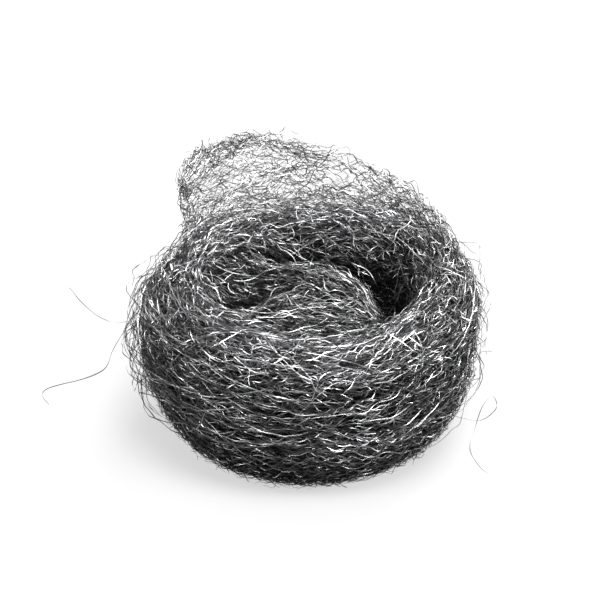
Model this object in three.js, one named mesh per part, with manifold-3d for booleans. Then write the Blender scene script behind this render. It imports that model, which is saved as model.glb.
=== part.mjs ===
// Steel wool bundle: a loose strip of tangled steel fibre, rolled round on itself into a nest.
// Millimetres, +Z up. The origin is the middle of the flat patch that the nest rests on.
// -Y is the front, where the strip's folded inner end runs out over the rim. The strip's thin
// outer end stands up as a web along the back, highest at the back left (-X).

import * as THREE from "three";
import { mergeVertices } from "three/addons/utils/BufferGeometryUtils.js";
import Module from "manifold-3d";

const wasm = await Module();
wasm.setup();

const RAD = Math.PI / 180;

// The nest's outside.
const REST_RADIUS = 20;
const BELLY_RADIUS = 34.3;
const BELLY_HEIGHT = 28.5;
const RIM_RADIUS = 27;
const RIM_HEIGHT = 37.2;
const RIM_TILT = { right: 0.8, back: 1.3 };
const RIM_SHIFT_RIGHT = 0.8;
const UNEVENNESS = 0.7;

// The nest's inside: a folded mound, with a groove round its back and right, and two pockets.
const FLOOR_HEIGHT = 33.2;
const WALL_TOP_RADIUS = 27;
const WALL_FOOT_RADIUS = 19.5;
const MOUND = { x: -1, y: 3, height: 2.2, length: 13, width: 6, turn: -25 * RAD };
const GROOVE = {
  radius: 17.2,
  width: 3.8,
  depth: 8.5,
  from: -6 * RAD,
  to: 92 * RAD,
  fade: 8.5,
};
const RIGHT_POCKET = { x: 17, y: 1, radius: 5.4, depth: 6 };
const LEFT_POCKET = { x: -13.8, y: -3.2, radius: 3.7, depth: 6.5 };

// The web: the strip's thin outer end, standing on the rim.
const WEB_THICKNESS = 1.8;
const WEB_THINNING = 0.45;
const WEB_RADIUS = 30.6;
const WEB_LEAN = 0.07;
const WEB_RISE = 17.5;
const WEB_FOOT_HEIGHT = 30;
const WEB_FROM = 8 * RAD;
const WEB_PEAK = 115 * RAD;
const WEB_TO = 149 * RAD;
const WEB_CORNER = 10 * RAD;
const WEB_CORNER_DROP = 5.3;

// Single fibres that have worked loose and stand clear of the nest. Each runs through its points.
const STRAND_DIAMETER = 0.4;
const STRAND_SIDES = 6;
const STRAND_STEPS = 30;
const STRANDS = {
  loose_strand_left_upper: [
    [-33.3, -8.1, 32.2],
    [-37.4, -8.2, 30.6],
    [-40.2, -8.3, 30.5],
    [-43.5, -8.6, 32.4],
    [-46.6, -9, 36],
    [-48.2, -9.3, 38.7],
    [-49.3, -9.4, 39.4],
  ],
  loose_strand_left_lower: [
    [-35.5, 0, 26.1],
    [-37.6, -0.1, 25],
    [-39.3, -0.3, 22.8],
    [-41.3, -1, 19.4],
    [-42.6, -1.5, 16],
    [-44.6, -2, 14.5],
    [-48.3, -2.5, 13.2],
    [-52.3, -3, 12.4],
    [-55.4, -3, 11.2],
    [-56.3, -3, 9.6],
    [-55, -3, 7.4],
  ],
  loose_strand_right: [
    [29.7, -11, 9.7],
    [31.6, -11.3, 9.3],
    [35.2, -11.5, 9],
    [38.2, -11, 11.6],
    [37.4, -10.5, 14.2],
    [35.3, -11.5, 12.4],
    [33.9, -12.6, 8],
    [32.8, -14.6, 4],
    [34.6, -17.4, 1.6],
    [36.6, -19.2, 0.7],
  ],
};

// How finely the solids are faceted.
const TURN_STEPS = 76;
const PATCH_STEPS = 3;
const BELLY_STEPS = 7;
const SHOULDER_STEPS = 6;
const INSIDE_STEPS = 15;
const WEB_TURN_STEPS = 40;
const WEB_HEIGHT_STEPS = 7;

const steel = new THREE.MeshStandardMaterial({
  color: 0x6b6d6f,
  roughness: 0.38,
  metalness: 0.9,
});

const clamp01 = (value) => Math.min(Math.max(value, 0), 1);

function smoothStep(from, to, value) {
  const t = clamp01((value - from) / (to - from));
  return t * t * (3 - 2 * t);
}

// Falls from 1 at the middle of a dent or swelling to 0 well outside it.
const bell = (distance) => Math.exp(-distance * distance);

// The slow unevenness of something rolled up by hand.
function swell(angle, height) {
  const round = Math.sin(2 * angle + 0.9) + 0.6 * Math.sin(3 * angle + 0.12 * height + 2.1);
  return UNEVENNESS * (round + 0.35 * Math.sin(7 * angle - 0.2 * height));
}

function rimHeight(angle) {
  const tilt = RIM_TILT.right * Math.cos(angle) + RIM_TILT.back * Math.sin(angle);
  return RIM_HEIGHT + tilt + 0.5 * swell(angle, 0);
}

const rimRadius = (angle) => RIM_RADIUS + RIM_SHIFT_RIGHT * Math.cos(angle);

// Depth of the groove, whose middle line is part of a circle. It fades out past that line's ends.
function groove(radius, angle) {
  const past = Math.max(GROOVE.from - angle, angle - GROOVE.to, 0) * GROOVE.radius;
  const across = (radius - GROOVE.radius) / GROOVE.width;
  return GROOVE.depth * bell(Math.hypot(across, past / GROOVE.fade));
}

function dent(pocket, x, y) {
  return pocket.depth * bell(Math.hypot(x - pocket.x, y - pocket.y) / pocket.radius);
}

function mound(x, y) {
  const dx = x - MOUND.x;
  const dy = y - MOUND.y;
  const along = dx * Math.cos(MOUND.turn) + dy * Math.sin(MOUND.turn);
  const across = dy * Math.cos(MOUND.turn) - dx * Math.sin(MOUND.turn);
  return MOUND.height * bell(Math.hypot(along / MOUND.length, across / MOUND.width));
}

// Height of the nest's upper surface inside the crest of its rim.
function insideHeight(radius, angle) {
  const x = radius * Math.cos(angle);
  const y = radius * Math.sin(angle);
  const dents = groove(radius, angle) + dent(RIGHT_POCKET, x, y) + dent(LEFT_POCKET, x, y);
  const floor = FLOOR_HEIGHT + mound(x, y) - dents;
  const rise = smoothStep(WALL_FOOT_RADIUS, WALL_TOP_RADIUS, radius);
  return floor + (rimHeight(angle) - floor) * rise;
}

// The nest's outline at one angle, from the edge of its patch to the last ring before the axis.
function outline(angle) {
  const points = [];
  for (let i = 1; i <= PATCH_STEPS; i++) {
    points.push([(REST_RADIUS * i) / PATCH_STEPS, 0]);
  }
  for (let i = 1; i <= BELLY_STEPS; i++) {
    const turn = ((i / BELLY_STEPS) * Math.PI) / 2;
    const height = BELLY_HEIGHT * (1 - Math.cos(turn));
    const belly = BELLY_RADIUS + swell(angle, height);
    points.push([REST_RADIUS + (belly - REST_RADIUS) * Math.sin(turn), height]);
  }
  const crest = rimRadius(angle);
  for (let i = 1; i <= SHOULDER_STEPS; i++) {
    const turn = ((i / SHOULDER_STEPS) * Math.PI) / 2;
    const height = BELLY_HEIGHT + (rimHeight(angle) - BELLY_HEIGHT) * Math.sin(turn);
    const belly = BELLY_RADIUS + swell(angle, height);
    points.push([crest + (belly - crest) * Math.cos(turn), height]);
  }
  for (let i = 1; i < INSIDE_STEPS; i++) {
    const radius = crest * (1 - i / INSIDE_STEPS);
    points.push([radius, insideHeight(radius, angle)]);
  }
  return points;
}

// Joins rings of points, each ring closed, with a pole before the first and after the last.
function closedByRings(rings, firstPole, lastPole) {
  const count = rings[0].length;
  const positions = [firstPole, ...rings.flat(), lastPole];
  const last = positions.length - 1;
  const at = (ring, step) => 1 + ring * count + (step % count);
  const triangles = [];
  for (let step = 0; step < count; step++) {
    triangles.push(0, at(0, step + 1), at(0, step));
    triangles.push(last, at(rings.length - 1, step), at(rings.length - 1, step + 1));
    for (let ring = 0; ring + 1 < rings.length; ring++) {
      triangles.push(at(ring, step), at(ring, step + 1), at(ring + 1, step + 1));
      triangles.push(at(ring, step), at(ring + 1, step + 1), at(ring + 1, step));
    }
  }
  const geometry = new THREE.BufferGeometry();
  geometry.setAttribute("position", new THREE.Float32BufferAttribute(positions.flat(), 3));
  geometry.setIndex(triangles);
  return geometry;
}

function nestGeometry() {
  const outlines = [];
  for (let step = 0; step < TURN_STEPS; step++) {
    const angle = (step / TURN_STEPS) * 2 * Math.PI;
    const place = ([radius, height]) => [
      radius * Math.cos(angle),
      radius * Math.sin(angle),
      height,
    ];
    outlines.push(outline(angle > Math.PI ? angle - 2 * Math.PI : angle).map(place));
  }
  const rings = outlines[0].map((_, ring) => outlines.map((points) => points[ring]));
  return closedByRings(rings, [0, 0, 0], [0, 0, insideHeight(0, 0)]);
}

// Height of the web's top edge: it climbs from the right, peaks, and ends in a round corner.
function webTop(angle) {
  const rise = WEB_RISE * clamp01((angle - WEB_FROM) / (WEB_PEAK - WEB_FROM));
  const corner = clamp01((angle - (WEB_TO - WEB_CORNER)) / WEB_CORNER);
  const drop = WEB_CORNER_DROP * (1 - Math.sqrt(1 - corner * corner));
  return rimHeight(angle) + rise - drop;
}

// One closed loop round the web's thickness at an angle, up its outside and down its inside.
function webLoop(angle) {
  const top = webTop(angle);
  const loop = [];
  for (const side of [1, -1]) {
    for (let i = 0; i <= WEB_HEIGHT_STEPS; i++) {
      const share = side > 0 ? i / WEB_HEIGHT_STEPS : 1 - i / WEB_HEIGHT_STEPS;
      const height = WEB_FOOT_HEIGHT + (top - WEB_FOOT_HEIGHT) * share;
      const halfThickness = (WEB_THICKNESS / 2) * (1 - WEB_THINNING * share);
      const lean = WEB_LEAN * (height - WEB_FOOT_HEIGHT);
      const radius = WEB_RADIUS + lean + side * halfThickness;
      loop.push([radius * Math.cos(angle), radius * Math.sin(angle), height]);
    }
  }
  return loop;
}

const middleOf = (points) =>
  [0, 1, 2].map((axis) => points.reduce((sum, point) => sum + point[axis], 0) / points.length);

function webGeometry() {
  const rings = [];
  for (let step = 0; step <= WEB_TURN_STEPS; step++) {
    const angle = WEB_TO - ((WEB_TO - WEB_FROM) * step) / WEB_TURN_STEPS;
    rings.push(webLoop(angle));
  }
  return closedByRings(rings, middleOf(rings[0]), middleOf(rings[rings.length - 1]));
}

function toSolid(geometry) {
  const merged = mergeVertices(geometry, 1e-4);
  return new wasm.Manifold(
    new wasm.Mesh({
      numProp: 3,
      vertProperties: new Float32Array(merged.attributes.position.array),
      triVerts: new Uint32Array(merged.index.array),
    }),
  );
}

function toGeometry(solid) {
  const mesh = solid.getMesh();
  const geometry = new THREE.BufferGeometry();
  geometry.setAttribute("position", new THREE.BufferAttribute(mesh.vertProperties, 3));
  geometry.setIndex(new THREE.BufferAttribute(mesh.triVerts, 1));
  geometry.computeVertexNormals();
  return geometry;
}

function bundleMesh() {
  const bundle = toSolid(nestGeometry()).add(toSolid(webGeometry()));
  const mesh = new THREE.Mesh(toGeometry(bundle), steel);
  mesh.name = "steel_wool_bundle";
  return mesh;
}

function strandMesh(name, points) {
  const path = new THREE.CatmullRomCurve3(points.map((point) => new THREE.Vector3(...point)));
  const radius = STRAND_DIAMETER / 2;
  const corners = [];
  for (let side = 0; side < STRAND_SIDES; side++) {
    const turn = (side / STRAND_SIDES) * 2 * Math.PI;
    corners.push(new THREE.Vector2(Math.cos(turn), Math.sin(turn)).multiplyScalar(radius));
  }
  const section = new THREE.Shape(corners);
  const geometry = new THREE.ExtrudeGeometry(section, { steps: STRAND_STEPS, extrudePath: path });
  const mesh = new THREE.Mesh(geometry, steel);
  mesh.name = name;
  return mesh;
}

const group = new THREE.Group();
group.add(bundleMesh());
for (const [name, points] of Object.entries(STRANDS)) {
  group.add(strandMesh(name, points));
}

export default group;
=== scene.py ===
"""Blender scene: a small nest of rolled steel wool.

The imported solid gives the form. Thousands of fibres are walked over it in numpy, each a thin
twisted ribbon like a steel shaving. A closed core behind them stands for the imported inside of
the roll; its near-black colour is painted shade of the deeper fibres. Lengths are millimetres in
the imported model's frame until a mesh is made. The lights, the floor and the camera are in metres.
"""

import math
from dataclasses import dataclass

import bpy
import numpy as np
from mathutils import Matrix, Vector
from mathutils.bvhtree import BVHTree


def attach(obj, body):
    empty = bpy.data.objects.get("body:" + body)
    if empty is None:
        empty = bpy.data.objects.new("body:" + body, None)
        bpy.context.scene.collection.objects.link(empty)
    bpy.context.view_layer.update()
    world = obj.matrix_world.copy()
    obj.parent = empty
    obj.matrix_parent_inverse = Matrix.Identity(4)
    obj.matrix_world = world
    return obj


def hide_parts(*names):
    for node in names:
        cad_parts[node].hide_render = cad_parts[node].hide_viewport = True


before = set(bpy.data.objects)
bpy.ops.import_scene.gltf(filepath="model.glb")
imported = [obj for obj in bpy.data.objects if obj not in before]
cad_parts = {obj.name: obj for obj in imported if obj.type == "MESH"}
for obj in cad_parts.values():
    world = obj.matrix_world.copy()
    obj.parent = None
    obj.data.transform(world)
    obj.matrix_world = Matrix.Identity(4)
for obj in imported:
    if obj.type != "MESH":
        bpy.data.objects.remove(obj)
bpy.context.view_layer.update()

MM = 0.001
NEST = "steel_wool_bundle"
TURN = 2 * math.pi


def unit(vectors):
    return vectors / np.maximum(np.linalg.norm(vectors, axis=-1, keepdims=True), 1e-9)


def dot(a, b):
    return (a * b).sum(-1, keepdims=True)


def smooth_step(low, high, values):
    t = np.clip((values - low) / (high - low), 0, 1)
    return t * t * (3 - 2 * t)


def radius_of(points):
    return np.hypot(points[..., 0], points[..., 1])


# ---------------------------------------------------------------- the form, read from the frame

WEB_LEVEL = 39.6  # nothing of the nest itself reaches this high
WEB_FOOT_LEVEL = 34.0
WEB_FOOT_RADIUS = 29.5
WEB_FACE_RISE = 0.4  # the web's faces stand upright: their normals rise or fall by less
NO_AREA = 1e-9


def packed_faces():
    """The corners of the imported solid's triangles, in mm."""
    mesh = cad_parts[NEST].data
    mesh.calc_loop_triangles()
    places = np.zeros(len(mesh.vertices) * 3, np.float32)
    mesh.vertices.foreach_get("co", places)
    corners = np.zeros(len(mesh.loop_triangles) * 3, np.int32)
    mesh.loop_triangles.foreach_get("vertices", corners)
    return places.reshape(-1, 3)[corners.reshape(-1, 3)].astype(float) / MM


def tree_of(faces):
    triangles = [(i, i + 1, i + 2) for i in range(0, 3 * len(faces), 3)]
    return BVHTree.FromPolygons([tuple(c) for c in faces.reshape(-1, 3)], triangles)


def nest_only(faces):
    """Those faces that belong to the nest and not to the web standing on it."""
    cross = np.cross(faces[:, 1] - faces[:, 0], faces[:, 2] - faces[:, 0])
    middle = faces.mean(1)
    upright = np.abs(unit(cross)[:, 2]) < WEB_FACE_RISE
    foot = upright & (middle[:, 2] > WEB_FOOT_LEVEL) & (radius_of(middle) > WEB_FOOT_RADIUS)
    kept = ~foot & (middle[:, 2] < WEB_LEVEL) & (np.linalg.norm(cross, axis=1) > NO_AREA)
    return faces[kept]


FIELD_STEP = 1.25
FIELD_MARGIN = 8.0
FORM_SOFTENINGS = 1
BRIDGE_SOFTENINGS = 9


def signed_distance(tree, place):
    """Distance to the surface, positive outside."""
    nearest, normal, _, distance = tree.find_nearest(Vector(place))
    return math.copysign(distance, (Vector(place) - nearest).dot(normal))


def distance_grid(faces):
    """The lowest corner of a grid round the faces, and the signed distance at each of its points."""
    corners = faces.reshape(-1, 3)
    low = corners.min(0) - FIELD_MARGIN
    counts = np.ceil((corners.max(0) + FIELD_MARGIN - low) / FIELD_STEP).astype(int) + 1
    tree = tree_of(faces)
    axes = [low[a] + FIELD_STEP * np.arange(counts[a]) for a in range(3)]
    grid = np.stack(np.meshgrid(*axes, indexing="ij"), -1)
    distance = np.array([signed_distance(tree, place) for place in grid.reshape(-1, 3)])
    return low, distance.reshape(counts)


def softened(values):
    """A grid with each value averaged with its neighbours."""
    for axis in range(3):
        padded = np.concatenate([values.take([0], axis), values, values.take([-1], axis)], axis)
        count = values.shape[axis]
        before = padded.take(range(0, count), axis)
        after = padded.take(range(2, count + 2), axis)
        values = 0.5 * values + 0.25 * (before + after)
    return values


class Field:
    """Distance to the nest's surface and its gradient, read from a grid softened a few times."""

    def __init__(self, low, distance, softenings):
        for _ in range(softenings):
            distance = softened(distance)
        self.low = low
        self.counts = np.array(distance.shape)
        self.values = np.stack([distance, *np.gradient(distance, FIELD_STEP)], -1)

    def read(self, points):
        """Distance and outward direction at each point."""
        place = (points - self.low) / FIELD_STEP
        place = np.clip(place, 0, self.counts - 1.001)  # just inside the last cell
        cell = place.astype(int)
        share = place - cell
        found = 0
        for x in (0, 1):
            for y in (0, 1):
                for z in (0, 1):
                    corner = np.array((x, y, z))
                    weight = np.where(corner, share, 1 - share).prod(-1, keepdims=True)
                    at = cell + corner
                    found = found + weight * self.values[at[..., 0], at[..., 1], at[..., 2]]
        return found[..., :1], unit(found[..., 1:])


PACKED = packed_faces()
FACES = nest_only(PACKED)
DISTANCES = distance_grid(FACES)
FORM = Field(*DISTANCES, FORM_SOFTENINGS)
BRIDGED = Field(*DISTANCES, BRIDGE_SOFTENINGS)  # where the fibres run: across the narrow hollows


def scattered(count, region, rng):
    """Random points on the nest's surface in a region, even by area."""
    edges = np.cross(FACES[:, 1] - FACES[:, 0], FACES[:, 2] - FACES[:, 0])
    area = np.linalg.norm(edges, axis=1)
    found = np.zeros((0, 3))
    while len(found) < count:
        chosen = rng.choice(len(FACES), 4 * count, p=area / area.sum())
        a, b = rng.random((2, 4 * count, 1))
        a, b = np.where(a + b > 1, 1 - a, a), np.where(a + b > 1, 1 - b, b)
        corner = FACES[chosen]
        points = corner[:, 0] + a * (corner[:, 1] - corner[:, 0]) + b * (corner[:, 2] - corner[:, 0])
        found = np.concatenate([found, points[region.holds(points)]])
    return found[:count]


# ---------------------------------------------------------------- the kinds of fibre


@dataclass
class Wool:
    """One kind of fibre. Lengths are millimetres, angles degrees, and pairs are lowest and highest."""

    length: float
    step: float
    depth: tuple = (-1.4, 0.9)  # height over the surface
    width: tuple = (0.08, 0.18)
    tone: tuple = (0.06, 0.95)
    glint: float = 1.0  # how bright the painted glints along it may get
    cross: float = 17  # the spread of the angles to the lay that the fibres keep
    swing: float = 12  # how far that angle waves
    crinkle: float = 15  # how far the fibre zigzags about its own way
    weave: float = 0.6  # how far it dips in and out
    arch: float = 0.0  # how far the middle stands out over the ends
    flick: float = 0.0  # how far the end stands out over the start
    curl: float = 0.0  # the spread of the fibres' own curves, in radians for each millimetre
    steer: float = 0.3  # how firmly each is drawn back to its angle


LONG = Wool(length=30, step=0.9)
CROSSING = Wool(length=14, step=0.8, cross=32, swing=16, crinkle=18)
CURLS = Wool(length=6, step=0.55, cross=50, curl=0.25, steer=0.1, depth=(-0.8, 1.1), flick=1.0)
SMOOTH = Wool(
    length=22, step=1.1, cross=34, crinkle=3, weave=0.3, curl=0.05, depth=(0.3, 1.4),
    tone=(0.5, 0.9), glint=0.3, width=(0.12, 0.2),
)
LOOPS = Wool(
    length=34, step=1.2, cross=11, crinkle=6, weave=0.3, arch=5, depth=(-1.0, 0.4),
    width=(0.12, 0.2), tone=(0.06, 0.4), glint=0.4,
)
FLUFF = Wool(
    length=8, step=0.7, cross=60, curl=0.3, steer=0.05, flick=3.2, depth=(-0.6, 0.8),
    width=(0.1, 0.18), tone=(0.1, 0.5), glint=0.5,
)
FILL = Wool(length=14, step=0.8, cross=50, swing=20, curl=0.08, depth=(0.5, 6.0), steer=0.15)


# ---------------------------------------------------------------- the way the fibres lie

MOUND_RADII = (18.5, 25.0)  # all across the nest inside the first, all round it outside the second
MOUND_LEVELS = (12, 18)  # under the first the lay is round the nest, whatever the radius
MOUND_TURN = math.radians(-24)  # how far the lay across the folded end is turned, at its back
MOUND_FADE = (-14, 2)  # from no turn at the front to the whole of it


def lay(points, normals):
    """Unit vectors along the strip: round the nest, and from left to right across its folded end."""
    x, y, z = points.T
    round_turn = np.arctan2(y, x) + math.pi / 2
    middle_turn = MOUND_TURN * smooth_step(*MOUND_FADE, y)
    inside = 1 - smooth_step(*MOUND_RADII, radius_of(points))
    inside = inside * smooth_step(*MOUND_LEVELS, z)
    two_x = (1 - inside) * np.cos(2 * round_turn) + inside * np.cos(2 * middle_turn)
    two_y = (1 - inside) * np.sin(2 * round_turn) + inside * np.sin(2 * middle_turn)
    turn = np.arctan2(two_y, two_x) / 2
    along = np.stack([np.cos(turn), np.sin(turn), np.zeros_like(turn)], -1)
    return unit(along - normals * dot(along, normals))


WAVE_SPREAD = 0.4  # how much the waves' sizes differ between fibres
WAVELENGTH_RANGE = (0.6, 1.6)  # and how much their lengths do


def waves(steps, step, size, wavelength, rng):
    """A sine wave of its own for each fibre, as (fibres, steps). step is a column, one per fibre."""
    size = size * rng.normal(1, WAVE_SPREAD, step.shape)
    pace = TURN * step / (wavelength * rng.uniform(*WAVELENGTH_RANGE, step.shape))
    return size * np.sin(pace * np.arange(steps) + rng.uniform(0, TURN, step.shape))


FLOOR_GAP = 0.25  # no fibre's middle line comes nearer the floor than this
STEEPEST = 0.9  # the steepest slope at which a fibre climbs or dives
LIFT = 0.45  # the share of the missing height that one step makes up
STEP_RANGE = (0.6, 1.3)
RIPPLE = 0.7  # how far a fibre zigzags up and down, against its zigzag from side to side
WEAVE_WAVE = 5.5
SWING_WAVE = 16
ZIGZAG_WAVE = 4.2
RIPPLE_WAVE = 5.3
BEND_WAVE = (0.6, 9)  # how far a fibre's own curve waves, and over what length


def heights(wool, steps, step, rng):
    """Each fibre's height over the surface at each of its points. More of them lie deep than high."""
    low, high = wool.depth
    share = np.linspace(0, 1, steps)
    height = high - (high - low) * np.sqrt(rng.random(step.shape))
    height = height + waves(steps, step, wool.weave, WEAVE_WAVE, rng)
    height = height + wool.arch * rng.random(step.shape) * np.sin(math.pi * share)
    return height + wool.flick * rng.random(step.shape) * share**2


def walk(starts, wool, rng):
    """Walks all the fibres forward together over the nest.

    Gives their points as (fibres, steps, 3), their heights and their step lengths.
    """
    count, steps = len(starts), int(round(wool.length / wool.step))
    step = wool.step * rng.uniform(*STEP_RANGE, (count, 1))
    height = heights(wool, steps, step, rng)
    turn = np.radians(rng.normal(0, wool.cross, (count, 1)))
    turn = turn + waves(steps, step, math.radians(wool.swing), SWING_WAVE, rng)
    zigzag = waves(steps, step, math.radians(wool.crinkle), ZIGZAG_WAVE, rng)
    ripple = waves(steps, step, math.radians(RIPPLE * wool.crinkle), RIPPLE_WAVE, rng)
    bend = rng.normal(0, 1, (count, 1)) + waves(steps, step, *BEND_WAVE, rng)
    bend = bend * wool.curl * step
    _, normals = BRIDGED.read(starts)
    points = starts + normals * height[:, :1]
    points[:, 2] = np.maximum(points[:, 2], FLOOR_GAP)
    heading = lay(points, normals) * rng.choice([-1, 1], (count, 1))
    track = [points]
    for i in range(steps - 1):
        here = slice(i, i + 1)
        distance, normals = BRIDGED.read(points)
        along = lay(points, normals)
        along = along * np.where(dot(along, heading) < 0, -1, 1)
        wanted = along * np.cos(turn[:, here]) + np.cross(normals, along) * np.sin(turn[:, here])
        heading = heading + np.cross(normals, heading) * bend[:, here]
        heading = heading * (1 - wool.steer) + wanted * wool.steer
        heading = unit(heading - normals * dot(heading, normals))
        lift = np.clip((height[:, here] - distance) * LIFT / step, -STEEPEST, STEEPEST)
        side = np.cross(normals, heading)
        path = heading + side * zigzag[:, here] + normals * (lift + ripple[:, here])
        points = points + step * unit(path)
        points[:, 2] = np.maximum(points[:, 2], FLOOR_GAP)
        track.append(points)
    return np.stack(track, 1), height, step


# ---------------------------------------------------------------- the standing web

WEB_FIRST = math.radians(8)
WEB_LAST = math.radians(149)
WEB_BAND_FIRST = math.radians(95)  # where the denser band along the high edge begins
WEB_HIGHEST = 56.5
WEB_SIDE = 31.0  # the mean radius, to turn angles into lengths
RIM_LEVEL = 37.0
BEYOND = 60.0  # further out than anything
WEB_TURNS = np.linspace(WEB_FIRST, WEB_LAST, 72)  # where its wall is measured
WEB_LEVELS = np.arange(WEB_LEVEL + 0.4, WEB_HIGHEST, 0.5)
WEB_ZIGZAG_WAVE = 4
WEB_SWING_WAVE = 9
WEB_BULGE_WAVE = 8
WEB_SPREAD = 0.3  # how far the fibres stand in front of one another and behind
OVER_EDGE = (-0.3, 1.0)  # how far over the top edge they turn back: the mean and the spread
PAST_END = (0, 0.03)  # and past the upright end, in radians


def web_wall(tree, turn):
    """Levels and mid radii where a line out from the axis at this turn meets the web."""
    out = Vector((math.cos(turn), math.sin(turn), 0))
    for level in WEB_LEVELS:
        axis = Vector((0, 0, level))
        inner = tree.ray_cast(axis, out)[0]
        outer = tree.ray_cast(axis + BEYOND * out, -out)[0]
        if inner is not None and outer is not None:
            yield level, ((inner - axis).length + (outer - axis).length) / 2


def web_form():
    """The web's radius as a line over its level, and the level of its top edge at each of its turns."""
    tree = tree_of(PACKED)
    walls = [list(web_wall(tree, turn)) for turn in WEB_TURNS]
    level, radius = np.array([spot for wall in walls for spot in wall]).T
    tops = [wall[-1][0] if wall else RIM_LEVEL for wall in walls]
    return np.polyfit(level, radius, 1), np.array(tops)


WEB_LINE, WEB_TOPS = web_form()
WEB_SLOPES = np.arctan(np.gradient(WEB_TOPS, WEB_TURNS * WEB_SIDE))


def web_starts(count, first, low, crowd, rng):
    """Turns and levels where web fibres start: from low up to the edge, crowded to one of them."""
    turn = rng.uniform(first, WEB_LAST, count)
    top = np.interp(turn, WEB_TURNS, WEB_TOPS)
    return turn, low + (top - low) * rng.random(count) ** crowd


def walk_web(turn, level, wool, rng):
    """Walks fibres over the standing web, turned back at its edges, and gives points and steps."""
    count, steps = len(turn), int(round(wool.length / wool.step))
    step = wool.step * rng.uniform(*STEP_RANGE, (count, 1))
    zigzag = waves(steps, step, math.radians(wool.crinkle), WEB_ZIGZAG_WAVE, rng)
    zigzag = zigzag + waves(steps, step, math.radians(wool.swing), WEB_SWING_WAVE, rng)
    over = rng.normal(*OVER_EDGE, count)
    past = rng.normal(*PAST_END, count)
    share = (level - WEB_FOOT_LEVEL) / (np.interp(turn, WEB_TURNS, WEB_TOPS) - WEB_FOOT_LEVEL)
    heading = np.interp(turn, WEB_TURNS, WEB_SLOPES) * share
    heading = heading + np.radians(rng.normal(0, wool.cross, count))
    heading = heading + math.pi * rng.integers(0, 2, count)
    track = []
    for i in range(steps):
        track.append((turn, level))
        slope = np.interp(turn, WEB_TURNS, WEB_SLOPES)
        top = np.interp(turn, WEB_TURNS, WEB_TOPS) + over
        heading = np.where((level > top) & (np.sin(heading - slope) > 0), 2 * slope - heading, heading)
        heading = np.where((level < WEB_FOOT_LEVEL) & (np.sin(heading) < 0), -heading, heading)
        ended = np.where(np.cos(heading) > 0, turn > WEB_LAST + past, turn < WEB_FIRST)
        heading = np.where(ended, math.pi - heading, heading)
        angle = heading + zigzag[:, i]
        turn = turn + step[:, 0] * np.cos(angle) / WEB_SIDE
        level = level + step[:, 0] * np.sin(angle)
    turn, level = np.moveaxis(np.array(track), 0, -1)
    radius = np.polyval(WEB_LINE, level) + rng.normal(0, WEB_SPREAD, (count, 1))
    radius = radius + waves(steps, step, WEB_SPREAD, WEB_BULGE_WAVE, rng)
    return np.stack([radius * np.cos(turn), radius * np.sin(turn), level], -1), step


# ---------------------------------------------------------------- fibres as meshes


def mesh_from(name, places, faces):
    """A smooth mesh object in the scene, from places in mm."""
    mesh = bpy.data.meshes.new(name)
    mesh.vertices.add(len(places))
    mesh.vertices.foreach_set("co", (places * MM).astype(np.float32).ravel())
    mesh.loops.add(faces.size)
    mesh.loops.foreach_set("vertex_index", faces.astype(np.int32).ravel())
    mesh.polygons.add(len(faces))
    starts = np.arange(len(faces)) * faces.shape[1]
    mesh.polygons.foreach_set("loop_start", starts.astype(np.int32))
    mesh.update(calc_edges=True)
    mesh.validate()
    mesh.polygons.foreach_set("use_smooth", [True] * len(mesh.polygons))
    piece = bpy.data.objects.new(name, mesh)
    bpy.context.scene.collection.objects.link(piece)
    return piece


def paint(piece, faces, tones, uvs):
    """Gives a mesh one tone and one map place for each of its vertices."""
    tone = piece.data.attributes.new("tone", "FLOAT", "POINT")
    tone.data.foreach_set("value", tones.astype(np.float32))
    layer = piece.data.uv_layers.new(name="OFBake")
    layer.data.foreach_set("uv", uvs[faces.ravel()].astype(np.float32).ravel())


def dress(piece, material):
    """Gives a piece its material and slot and lets it ride on the frame."""
    piece.data.materials.append(material)
    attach(piece, "root")


TIP_WIDTH = 0.35  # the width at a fibre's tips, as a share of its whole width
WIDTH_WAVE = (0.15, 6)  # how far the width waves, and over what length
TWIST_WAVE = (0.25, 7)
TWIST_SPREAD = 0.06  # how fast ribbons turn about their own way, in radians for each millimetre
LANE_HALF = 0.3  # the share of its own lane of the map that a ribbon fills to either side


def ribbons(track, step, width, tone, rng):
    """Vertices, quads, tones and map places of thin twisted ribbons along the points."""
    count, steps = track.shape[:2]
    along = unit(np.gradient(track, axis=1))
    guide = unit(rng.normal(0, 1, (count, 1, 3)))
    across = unit(np.cross(along, guide))
    up = np.cross(along, across)
    share = np.linspace(0.02, 0.98, steps)
    taper = TIP_WIDTH + (1 - TIP_WIDTH) * np.sqrt(np.sin(math.pi * share))
    half = rng.uniform(*width, (count, 1)) / 2 * taper
    half = (half * (1 + waves(steps, step, *WIDTH_WAVE, rng)))[..., None]
    twist = rng.uniform(0, TURN, (count, 1)) + waves(steps, step, *TWIST_WAVE, rng)
    twist = (twist + np.arange(steps) * step * rng.normal(0, TWIST_SPREAD, (count, 1)))[..., None]
    edge = half * (np.cos(twist) * across + np.sin(twist) * up)
    places = np.stack([track - edge, track + edge], 2).reshape(-1, 3)
    first = (np.arange(count)[:, None] * steps + np.arange(steps - 1)).reshape(-1, 1) * 2
    quads = first + np.array([0, 1, 3, 2])
    tones = np.repeat(tone.ravel(), 2)
    lane = np.repeat((np.arange(count) + 0.5) / count, steps * 2)
    side = np.tile([-LANE_HALF, LANE_HALF], count * steps) / count
    uvs = np.stack([np.clip(tones, 0.01, 0.99), lane + side], -1)
    return places, quads, tones, uvs


def fibre_piece(name, batches, material):
    """Joins several batches of ribbons into one piece."""
    parts = []
    offset = 0
    for places, quads, tones, uvs in batches:
        parts.append((places, quads + offset, tones, uvs))
        offset += len(places)
    places, quads, tones, uvs = (np.concatenate(columns) for columns in zip(*parts))
    piece = mesh_from(name, places, quads)
    paint(piece, quads, tones, uvs)
    dress(piece, material)
    return piece
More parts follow.
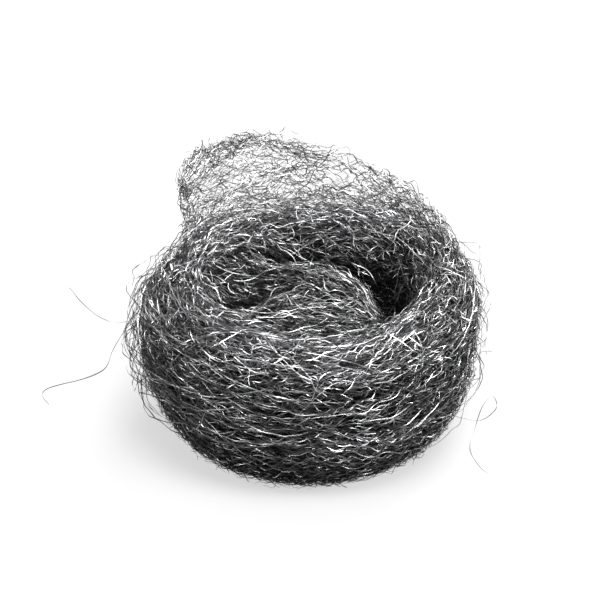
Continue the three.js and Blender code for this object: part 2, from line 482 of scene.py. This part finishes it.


# ---------------------------------------------------------------- how bright each fibre is, with painted glints and painted shade


DULL_SHAPE = (0.9, 1.6)  # of a beta distribution: most fibres are near the dull end
BRIGHT_SHAPE = (1.0, 1.3)
SHORT_GLINTS = (0.8, 4)  # painted glints: how far the tone waves, and over what length
LONG_GLINTS = (0.5, 8)
BURIED_SHADE = 0.01  # painted shade: the share of its tone that a buried fibre keeps
LIT_HEIGHTS = (-0.9, 0.8)  # buried below the first height over the surface, open above the second
HOLLOW_RADIUS = 24  # there is no hollow further out
HOLLOW_GAPS = (0.1, 0.8)  # how far the form lies under the fibres that cross a hollow
LIT_CROSSING = 0.16  # the share of those that are left without painted shade
MIDDLE_SHADE = 0.66  # painted shade: the share of its tone that the folded middle keeps, darker than the side
MIDDLE_EDGE = (22, 28)  # the radii between which that fades
FOOT_SHADE = 0.36  # painted shade: the share of its tone that fibres near the floor keep, darker towards the floor
FOOT_LEVELS = (3, 18)


def tones_of(wool, steps, step, rng):
    """How bright each fibre is along its length: most of it is dull, with short painted glints."""
    low, high = wool.tone
    dull = low + (high - low) * rng.beta(*DULL_SHAPE, step.shape)
    glints = waves(steps, step, *SHORT_GLINTS, rng) + waves(steps, step, *LONG_GLINTS, rng)
    bright = wool.glint * rng.beta(*BRIGHT_SHAPE, step.shape)
    return np.clip(dull + bright * np.maximum(glints, 0), 0, 1)


def painted_shade(track, height, rng):
    """How much of their tone fibres keep under painted shade: less when buried, across hollows, in the
    folded middle and near the floor.
    """
    open_air = smooth_step(*LIT_HEIGHTS, height)
    gap = FORM.read(track)[0][..., 0] - BRIDGED.read(track)[0][..., 0]
    crossing = smooth_step(*HOLLOW_GAPS, gap) * (radius_of(track) < HOLLOW_RADIUS)
    crossing = crossing * (rng.random((len(track), 1)) > LIT_CROSSING)
    middle = MIDDLE_SHADE + (1 - MIDDLE_SHADE) * smooth_step(*MIDDLE_EDGE, radius_of(track))
    foot = FOOT_SHADE + (1 - FOOT_SHADE) * smooth_step(*FOOT_LEVELS, track[..., 2])
    return BURIED_SHADE + (1 - BURIED_SHADE) * open_air * (1 - crossing) * middle * foot


def nest_batch(count, wool, region, rng):
    """A batch of fibres that start in one region of the nest, as ribbons."""
    track, height, step = walk(scattered(count, region, rng), wool, rng)
    tone = tones_of(wool, track.shape[1], step, rng) * painted_shade(track, height, rng)
    return ribbons(track, step, wool.width, tone, rng)


# ---------------------------------------------------------------- materials


# The ramp's dark end is reached mostly through painted shade, its bright end through painted glints.
DULL_STEEL = (0.003, 0.0028, 0.0028, 1)
PLAIN_STEEL = (0.35, 0.35, 0.355, 1)
BRIGHT_STEEL = (0.95, 0.95, 0.96, 1)
STEEL_ROUGHNESS = (0.3, 0.6)
GLOSS_GRAIN = 900
# The core's near-black colours are painted shade of the deeper fibres that it stands for.
CORE_DARK = (0.001, 0.001, 0.001, 1)
CORE_LIGHT = (0.012, 0.012, 0.012, 1)
CORE_METALLIC = 0.6
CORE_ROUGHNESS = 0.7
CORE_GRAIN = 700
CORE_BUMP_STRENGTH = 0.6
CORE_BUMP = 0.0005


def new_material(name, metallic):
    """A material with its nodes, its links and its shader."""
    material = bpy.data.materials.new(name)
    material.use_nodes = True
    nodes, links = material.node_tree.nodes, material.node_tree.links
    shader = nodes["Principled BSDF"]
    shader.inputs["Metallic"].default_value = metallic
    return material, nodes, links, shader


def ramp_node(nodes, low, high):
    """A colour ramp from one colour to another."""
    ramp = nodes.new("ShaderNodeValToRGB")
    ramp.color_ramp.elements[0].color = low
    ramp.color_ramp.elements[1].color = high
    return ramp


def grain_node(nodes, links, scale, detail):
    """Noise that stays fixed to the object."""
    coordinates = nodes.new("ShaderNodeTexCoord")
    noise = nodes.new("ShaderNodeTexNoise")
    noise.inputs["Scale"].default_value = scale
    noise.inputs["Detail"].default_value = detail
    links.new(coordinates.outputs["Object"], noise.inputs["Vector"])
    return noise


def steel_material():
    """Bare steel shavings: each fibre has its own tone, which carries painted glints and painted shade,
    and its gloss changes along it.
    """
    material, nodes, links, shader = new_material("steel_shavings", 1.0)
    tone = nodes.new("ShaderNodeAttribute")
    tone.attribute_name = "tone"
    ramp = ramp_node(nodes, DULL_STEEL, BRIGHT_STEEL)
    ramp.color_ramp.elements.new(0.5).color = PLAIN_STEEL
    links.new(tone.outputs["Fac"], ramp.inputs["Fac"])
    links.new(ramp.outputs["Color"], shader.inputs["Base Color"])
    noise = grain_node(nodes, links, GLOSS_GRAIN, 1)
    gloss = nodes.new("ShaderNodeMapRange")
    gloss.inputs["To Min"].default_value, gloss.inputs["To Max"].default_value = STEEL_ROUGHNESS
    links.new(noise.outputs["Fac"], gloss.inputs["Value"])
    links.new(gloss.outputs["Result"], shader.inputs["Roughness"])
    return material


def core_material():
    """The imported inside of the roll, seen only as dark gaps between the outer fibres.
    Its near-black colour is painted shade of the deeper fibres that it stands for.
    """
    material, nodes, links, shader = new_material("fibre_core_painted_shade", CORE_METALLIC)
    shader.inputs["Roughness"].default_value = CORE_ROUGHNESS
    noise = grain_node(nodes, links, CORE_GRAIN, 4)
    ramp = ramp_node(nodes, CORE_DARK, CORE_LIGHT)
    bump = nodes.new("ShaderNodeBump")
    bump.inputs["Strength"].default_value = CORE_BUMP_STRENGTH
    bump.inputs["Distance"].default_value = CORE_BUMP
    links.new(noise.outputs["Fac"], ramp.inputs["Fac"])
    links.new(ramp.outputs["Color"], shader.inputs["Base Color"])
    links.new(noise.outputs["Fac"], bump.inputs["Height"])
    links.new(bump.outputs["Normal"], shader.inputs["Normal"])
    return material


# ---------------------------------------------------------------- the pieces

CORE_DEPTH = 1.8  # how far the core lies under the nest's surface
CORE_TURNS = 110
CORE_RINGS = 60
CORE_PULLS = 30  # each moves a point half the way that is left
CORE_OUTLINE = [  # radius and level of a rough bowl, from its foot over its rim to its middle
    (19, 1), (27, 3), (32, 9), (34, 17), (34, 25), (32, 32), (28, 35), (24, 33), (20, 28),
    (16, 24), (11, 26), (6, 29),
]
CORE_BOTTOM = (0, 0, 1)
CORE_TOP = (0, 0, 30)


def core_points():
    """Rings of the bowl and its two middles, drawn on to a surface a little inside the nest's own."""
    outline = np.array(CORE_OUTLINE, float)
    spots = np.linspace(0, len(outline) - 1, CORE_RINGS)
    radius, height = (np.interp(spots, np.arange(len(outline)), column) for column in outline.T)
    turn = np.arange(CORE_TURNS) * TURN / CORE_TURNS
    rings = [
        radius[:, None] * np.cos(turn),
        radius[:, None] * np.sin(turn),
        np.repeat(height[:, None], CORE_TURNS, 1),
    ]
    points = np.concatenate([np.stack(rings, -1).reshape(-1, 3), [CORE_BOTTOM, CORE_TOP]])
    for _ in range(CORE_PULLS):
        distance, normals = FORM.read(points)
        points = points - 0.5 * normals * (distance + CORE_DEPTH)
    return points


def core_faces():
    """Triangles between neighbouring rings, and a fan from each end ring to its middle."""
    step = np.arange(CORE_TURNS)
    after = (step + 1) % CORE_TURNS
    ring = np.arange(CORE_RINGS - 1)[:, None] * CORE_TURNS
    a, b = ring + step, ring + after
    c, d = b + CORE_TURNS, a + CORE_TURNS
    last = (CORE_RINGS - 1) * CORE_TURNS
    bottom = np.full(CORE_TURNS, CORE_RINGS * CORE_TURNS)
    return np.concatenate(
        [
            np.stack([a, b, c], -1).reshape(-1, 3),
            np.stack([a, c, d], -1).reshape(-1, 3),
            np.stack([bottom, after, step], -1),
            np.stack([bottom + 1, last + step, last + after], -1),
        ]
    )


def core_piece(material):
    """The closed body behind the outer fibres, near-black with painted shade."""
    piece = mesh_from("packed_core", core_points(), core_faces())
    dress(piece, material)
    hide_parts(NEST)


@dataclass
class Region:
    """A part of the nest's surface: what lies inside all of these limits."""

    low: float  # levels over the floor
    high: float = BEYOND
    inner: float = 0.0  # radii
    outer: float = BEYOND
    right: float = BEYOND
    front: float = -BEYOND

    def holds(self, points):
        """Which of the points are in the region."""
        x, y, z = points.T
        radius = radius_of(points)
        levels = (z > self.low) & (z < self.high)
        radii = (radius > self.inner) & (radius < self.outer)
        return levels & radii & (x < self.right) & (y > self.front)


FLAT = 0.4  # the pressed underside lies under this level
UNDERSIDE = Region(-1, FLAT)
LOWER_SIDE = Region(FLAT, 17)
UPPER_SIDE = Region(15, inner=31)
RIM = Region(30, inner=22, outer=35)
INSIDE = Region(15, outer=27)
BACK_GROOVE = Region(-1, 31.5, outer=24, front=5)  # it takes in the underside below the groove too
OUTSIDE = Region(1, inner=26)
OFF_FLOOR = Region(15, inner=26)
OFF_FLOOR_LEFT = Region(15, inner=26, right=-20)
NEAR_FLOOR = Region(0.5, 9)

# The batches of each piece: how many fibres, of what kind, starting where.
NEST_PLAN = {
    "fibres_lower_side": [
        (1300, LONG, LOWER_SIDE),
        (2300, CROSSING, LOWER_SIDE),
        (900, CURLS, LOWER_SIDE),
        (40, SMOOTH, LOWER_SIDE),
    ],
    "fibres_upper_side": [
        (1300, LONG, UPPER_SIDE),
        (2400, CROSSING, UPPER_SIDE),
        (1100, CURLS, UPPER_SIDE),
        (50, SMOOTH, UPPER_SIDE),
    ],
    "fibres_rim": [
        (1300, LONG, RIM),
        (2300, CROSSING, RIM),
        (1400, CURLS, RIM),
        (50, SMOOTH, RIM),
    ],
    "fibres_folded_middle": [
        (1100, LONG, INSIDE),
        (2300, CROSSING, INSIDE),
        (1400, CURLS, INSIDE),
        (40, SMOOTH, INSIDE),
    ],
    "fibres_in_back_groove": [(180, FILL, BACK_GROOVE)],
    "fibres_underside": [(300, CROSSING, UNDERSIDE)],
    "loose_loops": [(240, LOOPS, OFF_FLOOR), (260, LOOPS, OFF_FLOOR_LEFT)],
    "loose_ends": [(1000, FLUFF, OUTSIDE), (260, FLUFF, NEAR_FLOOR), (400, FLUFF, RIM)],
}
NEST_SEED = 11
WEB_SEED = 5
STRAY_SEED = 3


def nest_pieces(material):
    rng = np.random.default_rng(NEST_SEED)
    for name, batches in NEST_PLAN.items():
        fibre_piece(name, [nest_batch(*batch, rng) for batch in batches], material)


WEB_WOOL = Wool(
    length=18, step=0.7, cross=24, swing=16, crinkle=28, width=(0.13, 0.24),
    tone=(0.2, 0.6), glint=0.3,
)
# Fibres, first turn, lowest start, and how the starts crowd: over 1 to the foot, under 1 to the edge.
WEB_PLAN = [
    (110, WEB_FIRST, 36.0, 1.0),
    (120, WEB_BAND_FIRST, 47.0, 0.7),
    (760, WEB_FIRST, 35.0, 2.6),
]


def web_piece(material):
    rng = np.random.default_rng(WEB_SEED)
    batches = []
    for count, first, low, crowd in WEB_PLAN:
        turn, level = web_starts(count, first, low, crowd, rng)
        track, step = walk_web(turn, level, WEB_WOOL, rng)
        tone = tones_of(WEB_WOOL, track.shape[1], step, rng)
        batches.append(ribbons(track, step, WEB_WOOL.width, tone, rng))
    fibre_piece("standing_web", batches, material)


# Each stray's path, from inside the nest out to its free end.
STRAYS = {
    "stray_left_upper": [
        (-30, -7.9, 32.4), (-33.3, -8.1, 32.2), (-37.4, -8.2, 30.6), (-40.2, -8.3, 30.5),
        (-43.5, -8.6, 32.4), (-46.6, -9, 36), (-48.2, -9.3, 38.7), (-49.3, -9.4, 39.4),
    ],
    "stray_left_lower": [
        (-33, 1, 26.6), (-35.5, 0, 26.1), (-37.6, -0.1, 25), (-39.3, -0.3, 22.8), (-41.3, -1, 19.4),
        (-42.6, -1.5, 16), (-44.6, -2, 14.5), (-48.3, -2.5, 13.2), (-52.3, -3, 12.4),
        (-55.4, -3, 11.2), (-56.3, -3, 9.6), (-55, -3, 7.4),
    ],
    "stray_right": [
        (27, -10, 10.3), (29.7, -11, 9.7), (31.6, -11.3, 9.3), (35.2, -11.5, 9), (38.2, -11, 11.6),
        (37.4, -10.5, 14.2), (35.3, -11.5, 12.4), (33.9, -12.6, 8), (32.8, -14.6, 4),
        (34.6, -17.4, 1.6), (36.6, -19.2, 0.7),
    ],
}
REPLACED = {
    "stray_left_upper": "loose_strand_left_upper",
    "stray_left_lower": "loose_strand_left_lower",
    "stray_right": "loose_strand_right",
}
STRAY_STEPS = 60
STRAY_WIDTH = (0.18, 0.2)
STRAY_TONE = 0.2


def through(points, count):
    """count places along a smooth curve (Catmull-Rom) through points."""
    points = np.array(points, float)
    points = np.concatenate([2 * points[:1] - points[1:2], points, 2 * points[-1:] - points[-2:-1]])
    place = np.linspace(0, len(points) - 3 - 1e-6, count)
    t = (place % 1)[:, None]
    a, b, c, d = (points[place.astype(int) + i] for i in range(4))
    return b + t / 2 * (c - a + t * (2 * a - 5 * b + 4 * c - d + t * (3 * (b - c) + d - a)))


def stray_pieces(material):
    """The few fibres that stand well clear of the nest."""
    rng = np.random.default_rng(STRAY_SEED)
    for name, points in STRAYS.items():
        track = through(points, STRAY_STEPS)[None]
        step = np.linalg.norm(np.diff(track, axis=1), axis=-1).mean(keepdims=True)
        tone = np.full((1, STRAY_STEPS), STRAY_TONE)
        piece = fibre_piece(name, [ribbons(track, step, STRAY_WIDTH, tone, rng)], material)
        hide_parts(REPLACED[name])


# ---------------------------------------------------------------- camera, light and floor


FLOOR_SIZE = 6
FLOOR_SEEN = 0.11  # its grey and its glow as the camera sees them
FLOOR_GLOW = 0.6
FLOOR_BOUNCE = 0.05  # its grey for all other light
FLOOR_ROUGHNESS = 0.9


def make_stage():
    """A floor that looks white but throws little light up at the nest."""
    bpy.ops.mesh.primitive_plane_add(size=FLOOR_SIZE)
    floor = bpy.context.object
    floor.name = "pale_floor"
    material, nodes, links, shader = new_material("pale_floor", 0.0)
    shader.inputs["Roughness"].default_value = FLOOR_ROUGHNESS
    shader.inputs["Emission Color"].default_value = (1, 1, 1, 1)
    path = nodes.new("ShaderNodeLightPath")
    seen = nodes.new("ShaderNodeMapRange")
    seen.inputs["To Min"].default_value = FLOOR_BOUNCE
    seen.inputs["To Max"].default_value = FLOOR_SEEN
    glow = nodes.new("ShaderNodeMath")
    glow.operation = "MULTIPLY"
    glow.inputs[1].default_value = FLOOR_GLOW
    links.new(path.outputs["Is Camera Ray"], seen.inputs["Value"])
    links.new(seen.outputs["Result"], shader.inputs["Base Color"])
    links.new(path.outputs["Is Camera Ray"], glow.inputs[0])
    links.new(glow.outputs["Value"], shader.inputs["Emission Strength"])
    floor.data.materials.append(material)


WORLD_LIGHT = 0.08
LIGHTS_AIM = Vector((0, 0, 0.02))
# Place, width of the disc, and power.
LIGHTS = {
    "key": ((0.3, 0.4, 0.9), 0.6, 15),
    "front": ((0.15, -0.5, 1.05), 0.5, 26),
    "overhead": ((-0.15, -0.1, 1.2), 0.9, 8),
    "right": ((0.8, -0.45, 0.55), 0.5, 15),
    "left": ((-0.75, -0.5, 0.75), 0.5, 9),
}


def area_light(name, place, size, power):
    data = bpy.data.lights.new(name, "AREA")
    data.shape = "DISK"
    data.size = size
    data.energy = power
    light = bpy.data.objects.new(name, data)
    light.location = place
    light.rotation_euler = (LIGHTS_AIM - Vector(place)).to_track_quat("-Z", "Y").to_euler()
    bpy.context.scene.collection.objects.link(light)


def make_light():
    world = bpy.data.worlds.new("studio")
    bpy.context.scene.world = world
    world.use_nodes = True
    background = world.node_tree.nodes["Background"]
    background.inputs["Color"].default_value = (1, 1, 1, 1)
    background.inputs["Strength"].default_value = WORLD_LIGHT
    for name, (place, size, power) in LIGHTS.items():
        area_light(name, place, size, power)


CAMERA_ELEVATION = math.radians(29.5)
CAMERA_DISTANCE = 0.45
CAMERA_TARGET = Vector((-0.00225, 0, 0.031))
CAMERA_LENS = 131


def make_camera():
    data = bpy.data.cameras.new("camera")
    data.lens = CAMERA_LENS
    camera = bpy.data.objects.new("camera", data)
    back = Vector((0, -math.cos(CAMERA_ELEVATION), math.sin(CAMERA_ELEVATION)))
    camera.location = CAMERA_TARGET + back * CAMERA_DISTANCE
    camera.rotation_euler = (-back).to_track_quat("-Z", "Y").to_euler()
    bpy.context.scene.collection.objects.link(camera)
    bpy.context.scene.camera = camera


make_camera()
make_light()
make_stage()
steel = steel_material()
core_piece(core_material())
nest_pieces(steel)
web_piece(steel)
stray_pieces(steel)
bpy.context.scene.view_settings.view_transform = "Standard"
